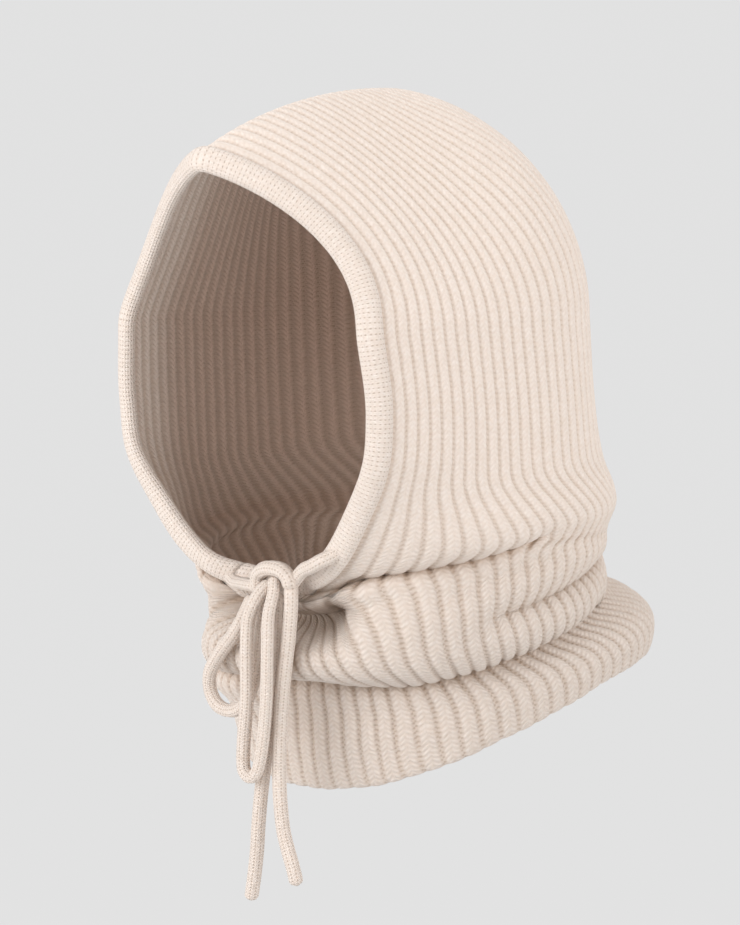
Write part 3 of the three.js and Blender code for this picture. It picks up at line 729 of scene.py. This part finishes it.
def wool(name, colours, slant, share, depth, stitch, valley, hole_shade, lit_ribs=None, head=1.0,
         line_from=0.62, folds=0.0):
    """Soft knitted wool. Stitches follow the mesh's own knit coordinates.

    slant is how far a stitch's legs rise, share how much of a column they fill and depth how far
    they stand out. The three after depth say how dark the painted shade is in the gaps between legs,
    the lines between columns and the holes along those lines, and folds how dark the painted shade
    in its deep folds is. lit_ribs gives the ribs by the face edge over which painted light, in the
    outer colours, fades into the painted shade of the colours given. head is how plain the stitches
    are round the head, as a share of that at the collar, and line_from how wide the lines between
    columns are.
    """
    material = bpy.data.materials.new(name)
    material.use_nodes = True
    n = Nodes(material)
    place = n.add("ShaderNodeTexCoord").outputs["Object"]
    up = n.split(place)[2]
    rib, legs, line, hole = stitches(n, place, slant, share, line_from)
    collar = n.math("SUBTRACT", 1.0, n.ramp(up, COLLAR_PLAIN, HEAD_PLAIN))
    strength = n.math("ADD", n.math("MULTIPLY", collar, 1 - head), head)

    # Painted shade in the gaps between the stitches' legs, the lines between columns and the holes along
    # them
    gaps = n.math("SUBTRACT", 1.0, legs, clamp=True)
    gaps = n.math("MULTIPLY", gaps, n.math("MULTIPLY", strength, stitch))
    holes = n.math("MULTIPLY", hole, n.math("MULTIPLY", strength, hole_shade))
    lines = n.math("MULTIPLY", line, n.math("ADD", holes, valley))
    shade = n.math("ADD", n.math("MULTIPLY", gaps, n.math("SUBTRACT", 1.0, line)), lines, clamp=True)
    # Painted shade on the inner face, darker lower down
    if lit_ribs:
        low = n.math("SUBTRACT", 1.0, n.ramp(up, *INNER_DEEP))
        shade = n.math("ADD", shade, n.math("MULTIPLY", low, INNER_DEEP_SHADE), clamp=True)
    # Painted shade in deep folds, where ambient occlusion finds the knit close by
    if folds:
        nearby = n.add("ShaderNodeAmbientOcclusion", samples=FOLD_SAMPLES)
        nearby.inputs["Distance"].default_value = FOLD_REACH
        deep = n.ramp(n.math("SUBTRACT", 1.0, nearby.outputs["AO"]), *FOLD_RANGE)
        shade = n.math("ADD", shade, n.math("MULTIPLY", deep, folds), clamp=True)

    heather = n.ramp(n.noise(place, *HEATHER), *HEATHER_RANGE)
    fleck = n.math("MULTIPLY", n.ramp(n.noise(place, *FLECK), *FLECK_RANGE), FLECK_SHARE)
    tones = []
    # Each set of colours: mottled fibres, with the painted shade mixed in
    for light, dark, shade_colour in (WOOL, colours) if lit_ribs else (colours,):
        tone = n.mix(fleck, n.mix(heather, dark, light), dark)
        tones.append(n.mix(shade, tone, shade_colour))
    # On the inner face the outer colours on the ribs by the face edge are painted light, fading into
    # painted shade deeper in
    tone = n.mix(n.ramp(rib, *lit_ribs), *tones) if lit_ribs else tones[0]

    shader = n.add("ShaderNodeBsdfPrincipled")
    n.put(shader.inputs["Base Color"], tone)
    n.put(shader.inputs["Normal"], wool_bump(n, place, legs, line, hole, strength, depth))
    for socket, value in WOOL_SURFACE.items():
        shader.inputs[socket].default_value = value
    output = n.add("ShaderNodeOutputMaterial")
    n.put(output.inputs["Surface"], shader.outputs[0])
    return material


def dress(obj, material, slot, *nodes):
    """Give a piece its material and body, and hide the solids that it stands for."""
    obj.data.materials.append(material)
    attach(obj, "root")
    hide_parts(*nodes)


def camera():
    """The photograph's camera. Gives back the directions right, up and back in its frame."""
    right = Vector((math.cos(CAMERA_AZIMUTH), math.sin(CAMERA_AZIMUTH), 0))
    back = Vector((
        math.sin(CAMERA_AZIMUTH) * math.cos(CAMERA_ELEVATION),
        -math.cos(CAMERA_AZIMUTH) * math.cos(CAMERA_ELEVATION),
        math.sin(CAMERA_ELEVATION),
    ))
    up = back.cross(right)
    data = bpy.data.cameras.new("camera")
    data.sensor_width = CAMERA_SENSOR
    data.lens = CAMERA_DISTANCE * PIXELS_PER_METRE / max(PHOTO_WIDTH, PHOTO_HEIGHT) * CAMERA_SENSOR
    data.clip_end = 50
    cam = bpy.data.objects.new("camera", data)
    cam.location = CAMERA_AIM + right * AIM_SHIFT_RIGHT + up * AIM_SHIFT_UP + back * CAMERA_DISTANCE
    cam.rotation_mode = "QUATERNION"
    cam.rotation_quaternion = (-back).to_track_quat("-Z", "Y")
    bpy.context.scene.collection.objects.link(cam)
    bpy.context.scene.camera = cam
    return right, up, back


def cords():
    """The two cords from the casing through the knot to their tips, the bow's loops and the knot."""
    cord_wool = wool("cord_wool", WOOL, slant=0.55, share=0.98, depth=0.0005,
                     stitch=0.2, valley=0.2, hole_shade=0.6)
    facing = (math.cos(CAMERA_AZIMUTH), math.sin(CAMERA_AZIMUTH), 0)
    near = INSIDE_CASING_LEFT + LINK_LEFT + UNDER_KNOT_LEFT + TAIL_LEFT
    far = INSIDE_CASING_RIGHT + LINK_RIGHT + UNDER_KNOT_RIGHT + TAIL_RIGHT
    long_loop = [LOOP_TOP_LEFT] + LOOP_LONG + [LOOP_TOP_RIGHT]
    knot = knot_mesh(cord_wool)
    for name, route, nodes, end, pieces in (
        ("cord_near", near, ("cord_link_left", "cord_tail_left"), "bare", [knot]),
        ("cord_far", far, ("cord_link_right", "cord_tail_right"), "bare", []),
        ("loop_long", long_loop, ("bow_loop_long",), "object", []),
        ("loop_short", LOOP_SHORT, ("bow_loop_short",), "object", []),
    ):
        obj, path, length = cord_tube(name, route, CORD, facing)
        dress(obj, cord_wool, "cord_knit", *nodes)


def knot_mesh(material):
    """The knot: one turn of cord over a rounded core."""
    turn = cord_tube("bow_knot_turn", KNOT_TURN, KNOT_CORD, (0, -1, 0))[0]
    points, uvs = [], []
    for i in range(KNOT_ROWS):
        tilt = math.pi * i / (KNOT_ROWS - 1)
        for j in range(KNOT_COLUMNS):
            around = 2 * math.pi * j / (KNOT_COLUMNS - 1)
            points.append((
                KNOT_CENTRE[0] + KNOT_SIZE[0] / 2 * math.sin(tilt) * math.cos(around),
                KNOT_CENTRE[1] + KNOT_SIZE[1] / 2 * math.sin(tilt) * math.sin(around),
                KNOT_CENTRE[2] + KNOT_SIZE[2] / 2 * math.cos(tilt),
            ))
            uvs.append((j * CORD_WALES / (KNOT_COLUMNS - 1), i * KNOT_STITCHES))
    core = mesh_object("bow_knot_core", points, grid_faces(KNOT_ROWS, KNOT_COLUMNS, 0, False), uvs)
    core.parent = turn
    core.data.materials.append(material)
    dress(turn, material, "cord_knit", "bow_knot")
    return turn


# The face edge is followed at every third row of the sides and at a few places across the front
SEAM_EVERY = 3
FRONT_SEAM_POINTS = 9
SEAM_RIBS = (0.0, 0.05)
SEAM_PASSES, OUT_PASSES = 6, 10
CURVE_STEPS = 20


def face_seam():
    """The middle of the wall's edge round the face, with the direction out of the knit there."""
    left = surface("left", np.array(SEAM_RIBS))
    right = surface("right", np.array(SEAM_RIBS))
    front = surface("front", np.linspace(-FRONT_RIBS / 2, FRONT_RIBS / 2, FRONT_SEAM_POINTS))
    up = (0, slice(0, CHIN_ROW, SEAM_EVERY))
    across = (slice(None), 0)
    down = (0, slice(CHIN_ROW - SEAM_EVERY, 0, -SEAM_EVERY))
    parts = ((right, up), (front, across), (left, down))
    edge = np.concatenate([patch[0][where] for patch, where in parts])
    outs = np.concatenate([patch[1][where] for patch, where in parts])
    return edge - outs * WALL / 2, outs


def closed_curve(points):
    """Close points on a smooth closed curve through a few."""
    loop = np.concatenate([points[-1:], points, points[:2]])
    fine = []
    for i in range(len(points)):
        a, b, c, d = loop[i:i + 4]
        t = np.linspace(0, 1, CURVE_STEPS, endpoint=False)[:, None]
        curve = 2 * b + (c - a) * t + (2 * a - 5 * b + 4 * c - d) * t**2
        fine.append(0.5 * (curve + (3 * b - a - 3 * c + d) * t**3))
    return np.concatenate(fine)


def resample(fine, values, count):
    """Values of a closed curve at even steps along it, and its length."""
    ring = np.concatenate([fine, fine[:1]])
    held = np.concatenate([values, values[:1]])
    length = np.concatenate([[0], np.cumsum(np.linalg.norm(np.diff(ring, axis=0), axis=1))])
    at = np.linspace(0, length[-1], count, endpoint=False)
    return np.stack([np.interp(at, length, held[:, k]) for k in range(held.shape[1])], -1), length[-1]


def smoothed(values, passes):
    """Values round a closed curve with their small bends evened out."""
    for _ in range(passes):
        values = (np.roll(values, 1, axis=0) + 2 * values + np.roll(values, -1, axis=0)) / 4
    return values


def face_binding():
    """The rounded casing, knitted across, that closes the hood's face edge."""
    seam, outs = face_seam()
    fine, fine_outs = closed_curve(seam), closed_curve(outs)
    path, total = resample(fine, fine, BINDING_ROWS)
    out, _ = resample(fine, fine_outs, BINDING_ROWS)
    path, out = smoothed(path, SEAM_PASSES), unit(smoothed(out, OUT_PASSES))
    along = unit(np.roll(path, -1, axis=0) - np.roll(path, 1, axis=0))
    ahead = unit(np.cross(out, along))
    out = unit(np.cross(along, ahead))
    cos, sin = math.cos(BINDING_TURN), math.sin(BINDING_TURN)
    reach = math.hypot(BINDING_WIDTH / 2 * cos, BINDING_THICKNESS / 2 * sin)
    centre = path + ahead * (reach + BINDING_GAP) - out * BINDING_SINK
    wide, thick = ahead * cos - out * sin, out * cos + ahead * sin
    points, uvs = [], []
    girth = math.pi * (BINDING_WIDTH + BINDING_THICKNESS) / 2
    stitch_count = round(total / BINDING_PITCH)
    for i in range(BINDING_ROWS + 1):
        r = i % BINDING_ROWS
        for k in range(BINDING_SIDES + 1):
            turn = 2 * math.pi * k / BINDING_SIDES
            c, s = math.cos(turn), math.sin(turn)
            across = math.copysign(abs(c) ** BINDING_ROUND, c)
            through = math.copysign(abs(s) ** BINDING_ROUND, s)
            points.append(centre[r] + wide[r] * BINDING_WIDTH / 2 * across
                          + thick[r] * BINDING_THICKNESS / 2 * through)
            uvs.append((i / BINDING_ROWS * stitch_count, k / BINDING_SIDES * girth / BINDING_STITCH))
    faces = grid_faces(BINDING_ROWS + 1, BINDING_SIDES + 1, 0, False)
    return mesh_object("face_casing", points, faces, uvs)


def hood():
    """The three pieces of ribbed knit and the casing."""
    outer = pieces_of_knit(RIB_COLUMNS, RIB_RELIEF, 0.0)
    inner = pieces_of_knit(INNER_COLUMNS, -INNER_RELIEF, -WALL + INNER_RELIEF * 0.5)
    # The outer face: painted shade in the gaps between stitches and in deep folds
    outside = wool("rib_wool", WOOL, slant=1.1, share=0.92, depth=0.0008,
                   stitch=0.28, valley=0.3, hole_shade=0.5, head=0.5, folds=0.7)
    # The inner face: the wool darkened as painted shade, with painted light on the ribs by the face edge
    inside = wool("rib_wool_inside", INNER_PAINTED_SHADE, slant=1.1, share=0.92, depth=0.0004,
                  stitch=0.08, valley=0.5, hole_shade=0.1, lit_ribs=(1.5, 5.5), line_from=0.1)
    for kind in ("left", "right", "front"):
        obj = hood_patch(kind, outer, inner)
        rows, cols = outer[kind]["points"].shape[:2]
        outer_faces = (rows - 1) * (cols - 1)
        obj.data.materials.append(outside)
        obj.data.materials.append(inside)
        sides = [0 if i < outer_faces else 1 for i in range(len(obj.data.polygons))]
        obj.data.polygons.foreach_set("material_index", sides)
        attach(obj, "root")
        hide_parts("hood_body")
    casing = face_binding()
    casing_wool = wool("casing_wool", WOOL, slant=0.3, share=0.98, depth=0.0005,
                       stitch=0.08, valley=0.15, hole_shade=0.6)
    dress(casing, casing_wool, "binding_knit", "face_binding")


# The studio: a pale floor that bends up into the backdrop, in metres
FLOOR_Z = -0.62
FLOOR_SIZE = 14.0
BACKDROP_RADIUS = 3.0
BACKDROP_DISTANCE = 3.5
BACKDROP_HEIGHT = 7.0
BACKDROP_STEPS = 24
PAPER_SURFACE = {
    "Base Color": (0.03, 0.03, 0.03, 1),
    "Roughness": 0.9,
    "Specular IOR Level": 0.0,
    "Emission Color": (1, 1, 1, 1),
    "Emission Strength": 0.735,
}
WORLD_COLOUR = (0.65, 0.65, 0.65, 1)
LIGHTS = [
    # name, right, up and back of the aim in metres, size, watts, colour
    ("key", -1.7, 1.0, 2.0, 1.4, 24, (1.0, 0.985, 0.98)),
    ("fill", 2.0, 0.1, 1.4, 1.8, 20, (1.0, 0.94, 0.90)),
    ("low", 0.2, -1.2, 2.0, 1.6, 14, (1.0, 0.95, 0.91)),
    ("side", -2.1, 0.0, 0.8, 1.4, 20, (1.0, 0.97, 0.95)),
    ("top", 0.9, 2.1, 0.2, 1.8, 7, (1.0, 0.97, 0.95)),
]


def studio(right, up, back):
    """The floor, the world and the soft lights, placed from the camera's directions."""
    world = bpy.data.worlds.new("studio")
    world.use_nodes = True
    world.node_tree.nodes["Background"].inputs["Color"].default_value = WORLD_COLOUR
    bpy.context.scene.world = world
    flat_back = Vector((back.x, back.y, 0)).normalized()
    profile = [(-FLOOR_SIZE / 2, 0.0), (BACKDROP_DISTANCE, 0.0)]
    for i in range(1, BACKDROP_STEPS + 1):
        turn = math.pi / 2 * i / BACKDROP_STEPS
        profile.append((BACKDROP_DISTANCE + BACKDROP_RADIUS * math.sin(turn),
                        BACKDROP_RADIUS * (1 - math.cos(turn))))
    profile.append((BACKDROP_DISTANCE + BACKDROP_RADIUS, BACKDROP_HEIGHT))
    points = []
    for reach, height in profile:
        for side in (-1, 1):
            p = -flat_back * reach + right * side * FLOOR_SIZE / 2
            points.append((p.x / MM, p.y / MM, (FLOOR_Z + height) / MM))
    floor = mesh_object("floor", points, grid_faces(len(profile), 2, 0, False))
    paper = bpy.data.materials.new("paper")
    paper.use_nodes = True
    for socket, value in PAPER_SURFACE.items():
        paper.node_tree.nodes["Principled BSDF"].inputs[socket].default_value = value
    floor.data.materials.append(paper)
    for name, x, y, z, size, watts, colour in LIGHTS:
        data = bpy.data.lights.new(name, "AREA")
        data.color = colour
        data.size = size
        data.energy = watts
        lamp = bpy.data.objects.new(name, data)
        lamp.location = CAMERA_AIM + right * x + up * y + back * z
        lamp.rotation_mode = "QUATERNION"
        lamp.rotation_quaternion = (CAMERA_AIM - lamp.location).to_track_quat("-Z", "Y")
        bpy.context.scene.collection.objects.link(lamp)
    bpy.context.scene.view_settings.view_transform = "Standard"


view_right, view_up, view_back = camera()
cords()
hood()
studio(view_right, view_up, view_back)
